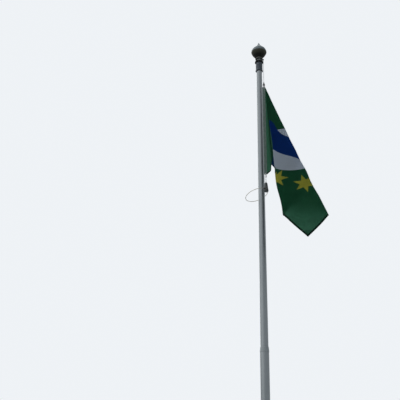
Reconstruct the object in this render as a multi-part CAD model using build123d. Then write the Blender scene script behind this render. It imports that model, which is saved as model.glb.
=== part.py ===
"""Eight metre sectional flagpole with a revolving head, a hoisted flag and its counterweight.

Millimetres, +Z up. The origin is the centre of the base plate's underside.
+X is the side that the head's halyard arm and the hanging flag point to.
"""

import os
from math import atan, atan2, cos, degrees, hypot, radians, sin, sqrt, tan

from build123d import *

# Clearances
seat_gap = 0.3
running_gap = 0.08
door_gap = 0.6

# Base
plate_size = 300
plate_thickness = 16
plate_corner = 20
bolt_spacing = 220
bolt_hole_r = 9
socket_height = 260
socket_wall = 7
gusset_reach = 62
gusset_height = 170
gusset_thickness = 10
gusset_toe = 16
rain_collar_height = 26
rain_collar_wall = 12

# Lower tube and its access door
lower_r = 58.5
lower_wall = 3.5
lower_length = 3175
door_centre_height = 1050
door_width = 76
door_height = 320
lock_r = 11
lock_stand = 2.5
strap_width = 34
strap_thickness = 6

# Joint between the tubes
overlap_length = 340
collar_skirt = 6
collar_height = 60
collar_wall = 1.5
collar_top_wall = 2.2

# Upper tube
upper_joint_r = 51.6
upper_top_r = 41
upper_wall = 3
upper_length = 4339

# Revolving head
plug_depth = 90
plug_rim = 20
washer_thickness = 4
bearing_height = 18
bearing_drop = 72
sleeve_bore_r = 46
sleeve_wall = 5
sleeve_cover = 101
lip_height = 16
lip_flare = 6
spigot_depth = 18
flange_r = 64
flange_height = 30
flange_round = 11

# Finial
neck_r = 38
neck_taper = 3
neck_height = 28
groove_r = 29
groove_height = 10
bead_r = 58
bead_height = 26
bead_shoulder = 2
bowl_r = 117
bowl_height = 102
bowl_foot_r = 47
bowl_flare_r = 71
bowl_flare_height = 25
bowl_belly_r = 100
bowl_belly_height = 64
shell_wall = 3
dome_height = 104
dome_step = 15
seam_width = 3
spike_r = 56
spike_height = 78
spike_waist_r = 22
spike_waist_height = 41
spike_tip_r = 6

# Halyard and the arm that leads it
arm_reach = 101
arm_width = 18
arm_thickness = 14
arm_tip_thickness = 12
halyard_r = 3
mouth_depth = 10
bush_wall = 2
bush_height = 6
halyard_run = 424

# Flag and its heading
flag_turn = 50
heading_width = 39
heading_inner = 24
heading_thickness = 3
hoist = 1440
fly = 2250
cloth_thickness = 4
eyelet_r = 4
eyelet_edge = 12
corner_height = 80
corner_width = 28
corner_depth = 36
corner_front = 5

# Folds of the flag in degrees: lean to the side, lean to the front, and angle in the flat cloth
folds = [
    (0, 0, 0),
    (2.7, 10.35, 10.5),
    (15.6, 9.6, 23),
    (5.9, 10.6, 32.2),
    (15.7, 11.3, 41.5),
    (4.65, 12.2, 51.9),
    (18.6, 13.8, 65.2),
    (14.5, 7, 72.5),
    (18.5, 1, 79.4),
    (11.5, -8.5, 90),
]

# Hooks, rings and strop
hook_width = 29
hook_length = 48
hook_wire_r = 4
barrel_r = 6.5
barrel_height = 12
ring_r = 11
ring_wire_r = 2
lower_hook_width = 22
lower_hook_length = 44
lower_hook_wire_r = 3
strop_width = 20
strop_length = 88
strop_r = 3
eye_r = 8.5
eye_wire_r = 2.5

# Counterweight and retaining hoop
weight_height = 134
weight_r = 34
weight_waist_r = 27
weight_top_r = 15
weight_shoulder = 4
weight_foot = 10
hoop_r = 163
hoop_wire_r = 4
hoop_centre = (-17, -75)
hoop_side_angle = 16.9
hoop_back_angle = 10
hoop_height = 22
ball_r = 16
ball_angle = 26
crimp_r = 7
crimp_length = 26
crimp_angle = 39

# Heights worked out from the sizes above
tube_foot_z = plate_thickness
joint_z = tube_foot_z + lower_length
tube_top_z = joint_z + upper_length
lip_z = tube_top_z - sleeve_cover
plug_top_z = tube_top_z + plug_rim
washer_z = plug_top_z
spigot_z = washer_z + washer_thickness + seat_gap
flange_z = spigot_z + spigot_depth
flange_top_z = flange_z + flange_height
groove_z = flange_top_z + neck_height
bead_z = groove_z + groove_height
bowl_z = bead_z + bead_height
equator_z = bowl_z + bowl_height
spike_z = equator_z + dome_height
arm_z = flange_z + flange_height / 2
mouth_z = arm_z - arm_thickness / 2
hook_top_z = mouth_z - halyard_run
lower_bore_r = lower_r - lower_wall
slope = (upper_joint_r - upper_top_r) / upper_length
line = Rot(0, 0, flag_turn)


def tube_r(z):
    """Outer radius of the upper tube at a height."""
    return upper_joint_r - slope * max(z - joint_z, 0)


def turned(points):
    """Solid of revolution about Z from a closed outline of (radius, height) points."""
    return revolve(make_face(Plane.XZ * Polyline(*points, close=True)), Axis.Z)


def ring(bottom, height, outer, inner):
    """Plain ring standing on a height."""
    return turned([(inner, bottom), (outer, bottom), (outer, bottom + height), (inner, bottom + height)])


def loop(width, length, wire_r):
    """Closed oblong link of round wire in the XZ plane, hanging from its top at the origin."""
    bend = width / 2 - wire_r
    leg = length / 2 - width / 2
    path = Plane.XZ * SlotCenterToCenter(2 * leg, 2 * bend, rotation=90).wire()
    link = sweep((path ^ 0) * Circle(wire_r), path)
    return Pos(0, 0, -length / 2) * link


def write(name, part):
    """Write one named piece."""
    part.label = name
    export_step(part, f"parts/{name}.step")


def base():
    plate = extrude(RectangleRounded(plate_size, plate_size, plate_corner), plate_thickness)
    for x in (-bolt_spacing / 2, bolt_spacing / 2):
        for y in (-bolt_spacing / 2, bolt_spacing / 2):
            plate -= Pos(x, y, plate_thickness / 2) * Cylinder(bolt_hole_r, 2 * plate_thickness)
    write("base_plate", plate)

    bore = lower_r + seat_gap
    write("base_socket", ring(plate_thickness, socket_height, bore + socket_wall, bore))

    foot = bore + socket_wall + seat_gap
    top = plate_thickness + gusset_height
    toe = plate_thickness + gusset_toe
    outline = Polyline(
        (foot - socket_wall / 2, plate_thickness),
        (foot + gusset_reach, plate_thickness),
        (foot + gusset_reach, toe),
        (foot + gusset_toe, top),
        (foot - socket_wall / 2, top),
        close=True,
    )
    web = extrude(make_face(Plane.XZ * outline), gusset_thickness / 2, both=True)
    web -= Cylinder(foot, 4 * gusset_height)
    for name, turn in (("right", 0), ("back", 90), ("left", 180), ("front", 270)):
        write(f"gusset_{name}", Rot(0, 0, turn) * web)

    collar_z = plate_thickness + socket_height
    outer = bore + rain_collar_wall
    collar = turned(
        [
            (bore, collar_z),
            (outer, collar_z),
            (outer, collar_z + rain_collar_height / 3),
            (bore + rain_collar_wall / 4, collar_z + rain_collar_height),
            (bore, collar_z + rain_collar_height),
        ]
    )
    write("rain_collar", collar)


def door_blank(clearance):
    """Upright rounded prism through the front of the lower tube, smaller by a clearance."""
    width = door_width - 2 * clearance
    height = door_height - 2 * clearance
    face = Plane.XZ * SlotOverall(height, width, rotation=90)
    return Pos(0, 0, door_centre_height) * extrude(face, 2 * lower_r)


def lower_tube():
    tube = ring(tube_foot_z, lower_length, lower_r, lower_bore_r)
    write("lower_tube", tube - door_blank(0))

    skin = ring(0, 2 * door_centre_height, lower_r, lower_bore_r)
    door = skin & door_blank(door_gap)
    lock_z = door_centre_height + door_height / 4
    lock_bore = Pos(0, -lower_r, lock_z) * Rot(90, 0, 0) * Cylinder(lock_r + seat_gap, lower_r)
    write("access_door", door - lock_bore)

    strap_outer = lower_bore_r - seat_gap
    strap = ring(lock_z - strap_width / 2, strap_width, strap_outer, strap_outer - strap_thickness)
    strap &= Pos(0, -lower_r, lock_z) * Box(door_width + 4 * strap_thickness, lower_r, 2 * strap_width)
    write("door_strap", strap)

    lock_length = lower_r + lock_stand - (strap_outer + seat_gap)
    lock_middle = -(strap_outer + seat_gap + lock_length / 2)
    lock = Pos(0, lock_middle, lock_z) * Rot(90, 0, 0) * Cylinder(lock_r, lock_length)
    key = Pos(0, -(lower_r + lock_stand), lock_z) * Rot(90, 0, 0)
    lock -= key * extrude(RegularPolygon(lock_r / 2, 3), lock_stand, both=True)
    write("door_lock", lock)


def joint():
    sleeve_outer = lower_bore_r - running_gap
    sleeve_inner = upper_joint_r + running_gap
    write("joint_sleeve", ring(joint_z - overlap_length, overlap_length, sleeve_outer, sleeve_inner))

    skirt_r = lower_r + seat_gap
    top_z = joint_z + collar_height
    collar = turned(
        [
            (skirt_r, joint_z - collar_skirt),
            (skirt_r + collar_wall, joint_z - collar_skirt),
            (skirt_r + collar_wall, joint_z + collar_skirt),
            (tube_r(top_z) + seat_gap + collar_top_wall, top_z),
            (tube_r(top_z) + seat_gap, top_z),
            (upper_joint_r + seat_gap, joint_z + seat_gap),
            (skirt_r, joint_z + seat_gap),
        ]
    )
    write("joint_collar", collar)


def upper_tube():
    foot_z = joint_z - overlap_length
    tube = turned(
        [
            (upper_joint_r, foot_z),
            (upper_joint_r, joint_z),
            (upper_top_r, tube_top_z),
            (upper_top_r - upper_wall, tube_top_z),
            (upper_joint_r - upper_wall, joint_z),
            (upper_joint_r - upper_wall, foot_z),
        ]
    )
    write("upper_tube", tube)

    bore = upper_top_r - upper_wall - running_gap
    rim = sleeve_bore_r - running_gap
    plug = turned(
        [
            (0, tube_top_z - plug_depth),
            (bore, tube_top_z - plug_depth),
            (bore, tube_top_z),
            (rim, tube_top_z),
            (rim, plug_top_z),
            (0, plug_top_z),
        ]
    )
    write("top_plug", plug)
    write("thrust_washer", ring(washer_z, washer_thickness, rim - seat_gap, upper_top_r / 2))

    bearing_z = tube_top_z - bearing_drop
    bearing = turned(
        [
            (tube_r(bearing_z) + running_gap, bearing_z),
            (rim, bearing_z),
            (rim, bearing_z + bearing_height),
            (tube_r(bearing_z + bearing_height) + running_gap, bearing_z + bearing_height),
        ]
    )
    write("bearing_ring", bearing)


def head():
    outer = sleeve_bore_r + sleeve_wall
    sleeve = turned(
        [
            (sleeve_bore_r, lip_z),
            (outer + lip_flare, lip_z),
            (outer + lip_flare, lip_z + lip_height / 4),
            (outer, lip_z + lip_height),
            (outer, flange_z),
            (sleeve_bore_r, flange_z),
        ]
    )
    write("head_sleeve", sleeve)

    rim = Pos(0, 0, flange_z + flange_height / 2) * Cylinder(flange_r, flange_height)
    rim = fillet(rim.edges().filter_by(GeomType.CIRCLE), flange_round)
    spigot = Pos(0, 0, spigot_z + spigot_depth / 2) * Cylinder(sleeve_bore_r - running_gap, spigot_depth)
    flange = rim + spigot
    root = flange_r - flange_round
    pocket = Pos((root + arm_reach) / 2, 0, arm_z)
    pocket *= Box(arm_reach - root, arm_width + 2 * seat_gap, arm_thickness + 2 * seat_gap)
    write("head_flange", flange - pocket)

    boss_r = arm_width / 2
    shank = arm_reach - root - seat_gap
    plan = Pos(arm_reach - shank / 2, 0) * Rectangle(shank, arm_width) + Pos(arm_reach, 0) * Circle(boss_r)
    arm = Pos(0, 0, mouth_z) * extrude(plan, arm_thickness)
    side = Plane.XZ * Polyline(
        (flange_r, arm_z + arm_thickness / 2),
        (arm_reach + boss_r, mouth_z + arm_tip_thickness),
        (arm_reach + boss_r, arm_z + arm_thickness),
        (flange_r, arm_z + arm_thickness),
        close=True,
    )
    arm -= extrude(make_face(side), arm_width, both=True)
    bush_outer = halyard_r + seat_gap + bush_wall
    arm -= Pos(arm_reach, 0, mouth_z + mouth_depth / 2) * Cylinder(bush_outer + running_gap, mouth_depth)
    write("halyard_arm", arm)
    bush = ring(mouth_z, bush_height, bush_outer, halyard_r + seat_gap)
    write("arm_bush", Pos(arm_reach, 0, 0) * bush)

    rope_top = mouth_z + mouth_depth - seat_gap
    rope = Pos(arm_reach, 0, (rope_top + hook_top_z) / 2)
    write("halyard", rope * Cylinder(halyard_r, rope_top - hook_top_z))


def finial():
    stem = turned(
        [
            (0, flange_top_z),
            (neck_r, flange_top_z),
            (neck_r - neck_taper, groove_z),
            (groove_r, groove_z),
            (groove_r, bead_z),
            (0, bead_z),
        ]
    )
    write("finial_stem", stem)

    half = bead_height / 2
    edge_r = bead_r - half / 2
    side = ThreePointArc((edge_r, bead_z), (bead_r, bead_z + half / 2), (edge_r, bead_z + half))
    outline = Polyline(
        (edge_r, bead_z + half),
        (bowl_foot_r, bead_z + half + bead_shoulder),
        (bowl_foot_r, bowl_z),
        (0, bowl_z),
        (0, bead_z),
        (edge_r, bead_z),
    )
    write("finial_bead", revolve(make_face(Plane.XZ * (side + outline)), Axis.Z))

    write("finial_bowl", revolve(bowl_section(0) - Pos(0, 0, shell_wall) * bowl_section(shell_wall), Axis.Z))
    write("finial_dome", revolve(dome_section(0) - dome_section(shell_wall), Axis.Z))

    tip_z = spike_z - dome_height * (1 - sqrt(1 - (spike_r / bowl_r) ** 2))
    top_z = spike_z + spike_height
    side = Spline(
        (spike_r, tip_z),
        (spike_waist_r, tip_z + spike_waist_height),
        (spike_tip_r, top_z - spike_tip_r),
    )
    outline = Polyline((spike_tip_r, top_z - spike_tip_r), (0, top_z), (0, tip_z), (spike_r, tip_z))
    section = make_face(Plane.XZ * (side + outline))
    write("finial_spike", revolve(section - dome_section(-seat_gap), Axis.Z))


def bowl_section(wall):
    """Half outline of the ball's underside, a pointed bowl, drawn in by a wall."""
    top_z = equator_z - seam_width / 2
    side = Spline(
        (bowl_foot_r - wall, bowl_z),
        (bowl_flare_r - wall, bowl_z + bowl_flare_height),
        (bowl_belly_r - wall, bowl_z + bowl_belly_height),
        (bowl_r - wall, top_z),
    )
    outline = Polyline((bowl_r - wall, top_z), (0, top_z), (0, bowl_z), (bowl_foot_r - wall, bowl_z))
    return make_face(Plane.XZ * (side + outline))


def dome_section(wall):
    """Half outline of the ball's upper half, a slightly flattened dome, drawn in by a wall."""
    base_z = equator_z - seam_width / 2
    width = bowl_r - wall
    height = dome_height + seam_width / 2 - wall
    angles = [radians(dome_step * i) for i in range(90 // dome_step + 1)]
    points = [(width * cos(a), base_z + height * sin(a)) for a in angles]
    side = Spline(*points, tangents=((0, 1), (-1, 0)))
    outline = Polyline((0, base_z + height), (0, base_z), (width, base_z))
    return make_face(Plane.XZ * (side + outline))


def on_line(height, part):
    """Place a piece on the plumb line under the halyard, turned to face as the heading does."""
    return Pos(arm_reach, 0, height) * line * part


def ray(side, front):
    """Unit vector of a fold line, from its two leans in degrees."""
    return Vector(tan(radians(side)), -tan(radians(front)), -1).normalized()


def flag(top_z):
    """Cloth hung from its top corner: flat panels between straight folds, gathered in a corner wedge."""
    corner = degrees(atan(fly / hoist))
    panels = []
    for (*first, start), (*second, end) in zip(folds, folds[1:]):
        a = ray(*first)
        b = ray(*second)
        points = [Vector(0, 0, 0), a * reach(start)]
        if start < corner < end:
            share = (corner - start) / (end - start)
            points.append((a * (1 - share) + b * share).normalized() * hypot(fly, hoist))
        points.append(b * reach(end))
        face = make_face(Polyline(*points, close=True))
        panels.append(extrude(face, cloth_thickness / 2, both=True))
    cloth = panels[0]
    for panel in panels[1:]:
        cloth += panel
    middle = (corner_width - cloth_thickness) / 2
    wedge_top = Pos(cloth_thickness / 2, 0) * Rectangle(2 * cloth_thickness, cloth_thickness)
    wedge_foot = Pos(middle, -corner_front, -corner_height) * Rectangle(corner_width, corner_depth)
    cloth -= Box(fly, fly, 2 * (corner_height - cloth_thickness))
    cloth += loft([wedge_top, wedge_foot])
    edge = heading_width - heading_inner + seat_gap + cloth_thickness / 2
    return on_line(top_z, Pos(edge, 0, 0) * cloth)


def reach(angle):
    """Length of cloth along a ray from the top hoist corner, at an angle from the hoist."""
    if angle <= 0:
        return hoist
    if angle >= 90:
        return fly
    return min(hoist / cos(radians(angle)), fly / sin(radians(angle)))


def flag_set():
    hook_top = hook_top_z - barrel_height
    hook = loop(hook_width, hook_length, hook_wire_r)
    barrel = Pos(0, 0, barrel_height / 2 - hook_wire_r / 2) * Cylinder(barrel_r, barrel_height + hook_wire_r)
    write("top_hook", on_line(hook_top, hook + barrel))

    hook_foot = hook_top - hook_length
    ring_centre = hook_foot + 2 * hook_wire_r + seat_gap + ring_wire_r - ring_r
    link = Rot(0, 90, 0) * Torus(ring_r, ring_wire_r)
    write("top_ring", on_line(ring_centre, link))

    top_eyelet = ring_centre - ring_r + ring_wire_r + seat_gap - eyelet_r
    heading_top = top_eyelet + eyelet_edge
    heading_foot = heading_top - hoist
    bottom_eyelet = heading_foot + eyelet_edge
    middle = (heading_width / 2 - heading_inner, 0, -hoist / 2)
    tape = Pos(*middle) * Box(heading_width, heading_thickness, hoist)
    for height in (top_eyelet, bottom_eyelet):
        hole = Rot(90, 0, 0) * Cylinder(eyelet_r, 4 * heading_thickness)
        tape -= Pos(0, 0, height - heading_top) * hole
    write("flag_heading", on_line(heading_top, tape))
    write("flag", flag(heading_top))

    lower_centre = bottom_eyelet - eyelet_r + seat_gap + ring_wire_r - ring_r
    write("bottom_ring", on_line(lower_centre, link))

    lower_hook_top = lower_centre - ring_r + ring_wire_r + seat_gap + 2 * lower_hook_wire_r
    clip = loop(lower_hook_width, lower_hook_length, lower_hook_wire_r)
    write("bottom_hook", on_line(lower_hook_top, clip))

    strop_top = lower_hook_top - lower_hook_length + 2 * lower_hook_wire_r + seat_gap + 2 * strop_r
    strop = Rot(0, 0, 90) * loop(strop_width, strop_length, strop_r)
    write("weight_strop", on_line(strop_top, strop))

    eye_top = strop_top - strop_length + 2 * strop_r + seat_gap + 2 * eye_wire_r
    eye_centre = eye_top - eye_r - eye_wire_r
    weight_top = eye_centre - eye_r
    eye = Rot(90, 0, 0) * Torus(eye_r, eye_wire_r)
    eye = Pos(0, 0, eye_centre - weight_top) * eye
    foot_z = -weight_height
    foot_r = weight_r - weight_foot / 2
    shoulder = (weight_top_r + weight_shoulder, -weight_shoulder)
    body = Polyline((0, 0), (weight_top_r, 0), shoulder)
    flank = Spline(shoulder, (weight_waist_r, -weight_height / 2), (weight_r, foot_z + weight_foot))
    under = Polyline((weight_r, foot_z + weight_foot), (foot_r, foot_z), (0, foot_z), (0, 0))
    bob = revolve(make_face(Plane.XZ * (body + flank + under)), Axis.Z)
    weight_foot_z = weight_top - weight_height
    hoop_plane = hoop_frame(weight_foot_z + hoop_height)
    bob = on_line(weight_top, bob) - hoop_plane * Torus(hoop_r, hoop_wire_r + seat_gap)
    write("counterweight", bob - on_line(weight_top, eye))
    write("weight_eye", on_line(weight_top, eye))
    write("retaining_hoop", hoop_plane * Torus(hoop_r, hoop_wire_r))

    towards = degrees(atan2(-hoop_centre[1], arm_reach - hoop_centre[0]))
    bore = Torus(hoop_r, hoop_wire_r + seat_gap)
    ball = Rot(0, 0, towards - ball_angle) * Pos(hoop_r, 0, 0) * Sphere(ball_r)
    write("hoop_ball", hoop_plane * (ball - bore))
    crimp = Pos(hoop_r, 0, 0) * Rot(90, 0, 0) * Cylinder(crimp_r, crimp_length)
    write("hoop_crimp", hoop_plane * (Rot(0, 0, towards - crimp_angle) * crimp - bore))


def hoop_frame(height_at_weight):
    """Plane of the tilted hoop, which passes through the weight at the stated height."""
    across = arm_reach - hoop_centre[0]
    along = -hoop_centre[1]
    side_rise = tan(radians(hoop_side_angle))
    back_rise = tan(radians(hoop_back_angle))
    centre_z = height_at_weight - side_rise * across - back_rise * along
    return Plane(origin=(*hoop_centre, centre_z), x_dir=(1, 0, side_rise), z_dir=(-side_rise, -back_rise, 1))


os.makedirs("parts", exist_ok=True)
base()
lower_tube()
joint()
upper_tube()
head()
finial()
flag_set()
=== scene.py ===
"""Looks of the flagpole: camera, light, materials, the hung flag, its rope, fittings and welds.

Metres, +Z up. The origin is the centre of the base plate's underside.
+X is the side that the head's halyard arm and the hanging flag point to.
"""

import math

import bmesh
import bpy
import numpy as np
from mathutils import Matrix, Vector

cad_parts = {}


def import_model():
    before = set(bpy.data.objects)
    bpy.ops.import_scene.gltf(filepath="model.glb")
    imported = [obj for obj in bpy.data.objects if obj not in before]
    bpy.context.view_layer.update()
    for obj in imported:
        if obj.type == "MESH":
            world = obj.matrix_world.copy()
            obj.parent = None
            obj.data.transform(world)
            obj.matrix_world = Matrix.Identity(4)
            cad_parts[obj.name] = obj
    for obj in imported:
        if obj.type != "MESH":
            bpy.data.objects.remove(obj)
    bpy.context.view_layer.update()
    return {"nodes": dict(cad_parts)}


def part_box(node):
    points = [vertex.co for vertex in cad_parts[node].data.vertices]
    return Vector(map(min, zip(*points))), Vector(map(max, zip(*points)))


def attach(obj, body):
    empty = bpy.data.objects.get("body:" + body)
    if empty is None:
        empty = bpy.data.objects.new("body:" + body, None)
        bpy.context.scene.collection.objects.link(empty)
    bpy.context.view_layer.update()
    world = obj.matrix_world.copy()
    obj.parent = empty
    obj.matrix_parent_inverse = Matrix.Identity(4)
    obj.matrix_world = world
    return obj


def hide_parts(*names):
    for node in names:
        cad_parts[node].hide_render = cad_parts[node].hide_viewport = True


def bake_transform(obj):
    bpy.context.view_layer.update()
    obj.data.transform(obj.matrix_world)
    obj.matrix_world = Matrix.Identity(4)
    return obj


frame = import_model()
nodes = frame["nodes"]

# Camera, as the photograph was taken
LENS_MM = 60.66
SENSOR_MM = 36
CLIP_END = 200
CAMERA_DISTANCE = 8.74
EYE_HEIGHT = 1.6
CAMERA_AZIMUTH = math.radians(50)
CAMERA_PAN = math.radians(5.679)
CAMERA_PITCH = math.radians(22.930)
CAMERA_ROLL = math.radians(1.130)

# Wide soft lamps: azimuth, elevation, strength, angular size and colour, with angles in degrees
KEY_LAMP = (-60, 40, 1.15, 90, (1.0, 0.98, 0.95))
BACK_LAMP = (200, 40, 1.4, 60, (0.97, 0.99, 1.0))

# Soft light of the world: colour, strength from below and from above, and where it changes
SKY_COLOUR = (0.86, 0.93, 1.0)
SKY_LOW = 0.12
SKY_HIGH = 0.55
SKY_FROM = -0.3
SKY_TO = 0.5
BACKDROP = (0.86, 0.89, 0.92)

# Floor, and its two shades as it lights the object and as the camera sees it
FLOOR_HALF = 90
FLOOR_DROP = 0.0005
FLOOR_SHADES = ((0.16, 0.165, 0.17), (0.19, 0.195, 0.2))
FLOOR_SEEN = ((0.78, 0.79, 0.8), (0.82, 0.83, 0.84))

# Stretch and scale of surface noise, and the depth of its relief
DRAWN_LINES = (700, 700, 9)
STAINS = (9, 9, 1.6)
STREAKS = (60, 60, 1.2)
PATCHES = (1, 1, 0.6)
PATCH_SCALE = 16
FINE_GRAIN = 900
LINE_DEPTH = 0.00006
GRAIN_DEPTH = 0.00012
STEEL_DEPTH = 0.00008
SPANGLE_SCALE = 110.0
SPANGLE_DEPTH = 0.00005
FIBRES = (1, 1, 0.3)
FIBRE_SCALE = 2500
FIBRE_DEPTH = 0.0002
# Unevenness of the painted shade down the finial's dome and bowl
SHADE_UNEVEN = 0.08

# Colours are linear RGB
BLACK = (0.0, 0.0, 0.0)
ZINC_SHADES = ((0.24, 0.255, 0.265), (0.36, 0.38, 0.39))
ZINC_BLOOM = (0.33, 0.34, 0.34)
ROPE_SHADES = ((0.36, 0.38, 0.38), (0.66, 0.69, 0.7))
CANVAS_SHADES = ((0.12, 0.165, 0.15), (0.19, 0.25, 0.225))
CANVAS_THREAD = (0.42, 0.45, 0.42)
FLAG_THREAD = (0.3, 0.33, 0.32)
GREEN = (0.012, 0.08, 0.037)
BLUE = (0.003, 0.03, 0.16)
WHITE = (0.42, 0.47, 0.53)
YELLOW = (0.36, 0.35, 0.05)
# Painted shade of the doubled hems and corner patches
DOUBLED_PAINTED_SHADE = (0.002, 0.02, 0.01)

# Coated castings: material, node, coat, dust, roughness, metallic and specular
COATED = [
    ("slate", "head_sleeve", (0.038, 0.052, 0.067), (0.08, 0.098, 0.112), 0.5, 0.2, 0.25),
    ("flange_black", "head_flange", (0.004, 0.005, 0.006), (0.012, 0.013, 0.015), 0.75, 0.0, 0.1),
    ("arm_black", "halyard_arm", (0.03, 0.033, 0.036), (0.07, 0.075, 0.08), 0.45, 0.3, 0.4),
    ("stem_grey", "finial_stem", (0.24, 0.26, 0.26), (0.32, 0.34, 0.34), 0.5, 0.2, 0.4),
    ("bead_grey", "finial_bead", (0.1, 0.105, 0.095), (0.16, 0.165, 0.15), 0.6, 0.0, 0.2),
    ("weight_paint", "counterweight", (0.055, 0.062, 0.065), (0.11, 0.12, 0.12), 0.6, 0.2, 0.4),
]
# Finial coats with painted shade, darker towards the foot of the piece: a painted shadow line at the foot
# of the dome along its seam with the bowl, and painted shade on the underside of the bowl. Columns:
# material, node, shaded and lit colours, the shares of the height where the change from shaded to lit
# starts and ends, and specular
HEIGHT_SHADED = [
    ("dome_grey", "finial_dome", (0.02, 0.025, 0.026), (0.15, 0.18, 0.19), 0.0, 0.07, 0.3),
    ("bowl_olive", "finial_bowl", (0.005, 0.006, 0.004), (0.075, 0.077, 0.056), 0.35, 0.95, 0.12),
]
# Moulded and plated pieces: material, nodes, colour, roughness, depth of grain, metallic and its scale
MOULDED = [
    ("rubber", ["rain_collar"], (0.03, 0.03, 0.032), 0.7, 0.0002, 0.0, 700),
    ("lock_brass", ["door_lock"], (0.5, 0.36, 0.14), 0.35, 0.00005, 1.0),
    ("bearing_plastic", ["thrust_washer", "bearing_ring", "arm_bush"], (0.55, 0.55, 0.5), 0.5, 0.0001),
    ("hoop_coating", ["retaining_hoop"], (0.82, 0.77, 0.62), 0.45, 0.00008),
    ("ball_black", ["hoop_ball"], (0.01, 0.01, 0.011), 0.4, 0.00008),
]

# Plumb line that the flag and its fittings hang on
LINE_X = 0.101
FLAG_TURN = math.radians(50)
ON_LINE = Matrix.Translation((LINE_X, 0, 0)) @ Matrix.Rotation(FLAG_TURN, 4, "Z")

# Flag: its flat size, and the leans in degrees of its fold lines, to the side and to the front
HOIST = 1.44
FLY = 2.25
FOLDS = [
    (0, 0),
    (2.3, 4.5),
    (2.9, 12.0),
    (4.4, 9.8),
    (15.4, 9.6),
    (7.2, 10.6),
    (15.7, 11.3),
    (4.65, 12.2),
    (18.6, 13.8),
    (16.4, 9.0),
    (6.4, 8.7),
    (15.5, 2),
]
FOLD_ROUND = 0.6

# Grid of the cloth: steps of its angle in degrees, in columns, and its rows
FAN_STEP = 0.1
FLAT_BEND = 1e-5
FOLD_COLUMN = 1
FLAT_COLUMN = 8
CLOTH_ROWS = 100
FIRST_ROW = 0.004

# How the cloth strays from straight folds
SWAY = 0.012
SWAY_SPAN = 1.6
BELLY = 0.026
BELLY_AT = 1.17
BELLY_SPAN = 0.36
BELLY_WIDTH = 7.0
LOOSE_FROM = 0.25
RIPPLE = 0.0035

# Crease that turns the free corner back: its two ends in degrees of cloth angle, its turn and ridge
CREASE_FIRST = 51.9
CREASE_LAST = 65.3
CREASE_TURN = math.radians(22)
CREASE_SPAN = 0.1
RIDGE_HEIGHT = 0.03
RIDGE_WIDTH = 0.14

# Cloth and its hems, the corner patches and the rows of stitches
CLOTH_THICKNESS = 0.0008
HEM_WIDTH = 0.025
HEM_THICKNESS = 0.0022
# Shares of the painted shade on the hems and on the corner patches
HEM_SHADE_SHARE = 0.8
PATCH_SIZE = 0.13
PATCH_SHADE_SHARE = 0.2
STITCH = 0.0035
STITCH_SHARE = 0.7
STITCH_HALF = 0.0006
STITCH_INSET = 0.004
EDGE_ROW = 0.003
THREAD_SHARE = 0.35
TONE_SHARE = 0.22
RIB_PITCH = 0.0018
ROW_PITCH = 0.0014
WEAVE_DEPTH = 0.0001

# Light that passes through the cloth: its share, and how much livelier its colour is
CLOTH_THROUGH = 0.5
CLOTH_GLOW = 0.28

# Wavy bands from the top down: start, slope, swing, wave length, shift, bend and drop of each upper
# edge, and the colour below it
BANDS = [
    ((0.609, -0.25, -0.18, 1.1, 0.776, 0.55, 16), WHITE),
    ((0.44, 0.0, 0.038, 0.6, 0.685, 0.55, 16), BLUE),
    ((0.93, -0.2, 0.02, 0.6, 0.9, 0.85, 4.3), WHITE),
    ((1.055, -0.25, -0.196, 1.3, 1.55, 1.0, 3), GREEN),
]
# Each star's place along the fly and down the hoist, and its turn in degrees
STARS = [(1.03, 1.235, 9), (1.356, 1.052, 18), (1.68, 0.886, 0), (2.01, 0.706, 12)]
STAR_OUTER = 0.147
STAR_INNER = 0.066
STAR_POINTS = 6

# Cloth's hoist edge and the heading tape, measured from the plumb line, and the tape's eyelets
EDGE_X = 0.0173
TAPE_LEFT = -0.024
TAPE_RIGHT = 0.0185
TAPE_HALF = 0.0015
TAPE_ROUND = (0.35, 0.7)
TAPE_LOOPS = 181
TAPE_SIDES = 28
TAPE_PUCKER = 0.12
PUCKER_WAVE = 190
TAPE_END_ROW = 0.026
TAPE_SIDE_ROWS = (TAPE_RIGHT - 0.003, TAPE_RIGHT - 0.007)
TAPE_THREAD_SHARE = 0.8
CANVAS_PITCH = 0.0012
CANVAS_DEPTH = 0.00015
EYELET_R = 0.004
EYELET_EDGE = 0.012
EYELET_RIM = 0.0035
EYELET_PROUD = 0.0007
CUTTER_LENGTH = 0.02

# First direction across a tube's line, which no line runs along
ASIDE = (0.31, 0.95, 0.11)

# Laid rope: length of one turn of a strand, and the points along each turn
LAY = 0.021
LAY_STEPS = 12
STRANDS = 3
STRAND_SIDES = 8
ROPE_R = 0.003
STROP_BEND = 0.007

# Whippings of twine: each one's length, and the rise of the halyard's above the rope's lower end
TWINE_R = 0.0006
TWINE_SINK = 0.8
TWINE_STEPS = 14
HALYARD_WHIPPING = 0.014
HALYARD_WHIPPING_RISE = 0.017
STROP_WHIPPING = 0.018

# Screws: radius and height, then places, and angles in degrees, on collar, sleeve, stem and flange
SCREW = (0.0042, 0.0024)
SMALL_SCREW = (0.0033, 0.0019)
SOCKET_SHARE = 0.4
SCREW_SINK = 0.0012
COLLAR_SCREW_RISE = 0.006
COLLAR_ANGLES = (20, 140, 260)
SLEEVE_R = 0.051
SLEEVE_SCREW_DROP = 0.014
SLEEVE_ANGLES = (60, 180, 300)
STEM_SCREW_RISE = 0.012
STEM_ANGLES = (90, 270)
ARM_SCREW_X = 0.0458
ARM_SCREW_Y = 0.0085

# Weld beads: radii, ripples, the taper of the ends in radii, and the gap at the end of a gusset
RING_BEAD = 0.0045
RING_RIPPLE = 0.08
RING_RIPPLES = 90
FOOT_BEAD = 0.0035
RISE_BEAD = 0.003
BEAD_RIPPLE = 0.09
BEAD_PITCH = 0.0045
BEAD_STEP = 0.0012
BEAD_TIP = 0.3
BEAD_TAPER = 1.5
BEAD_GAP = 0.002

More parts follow.
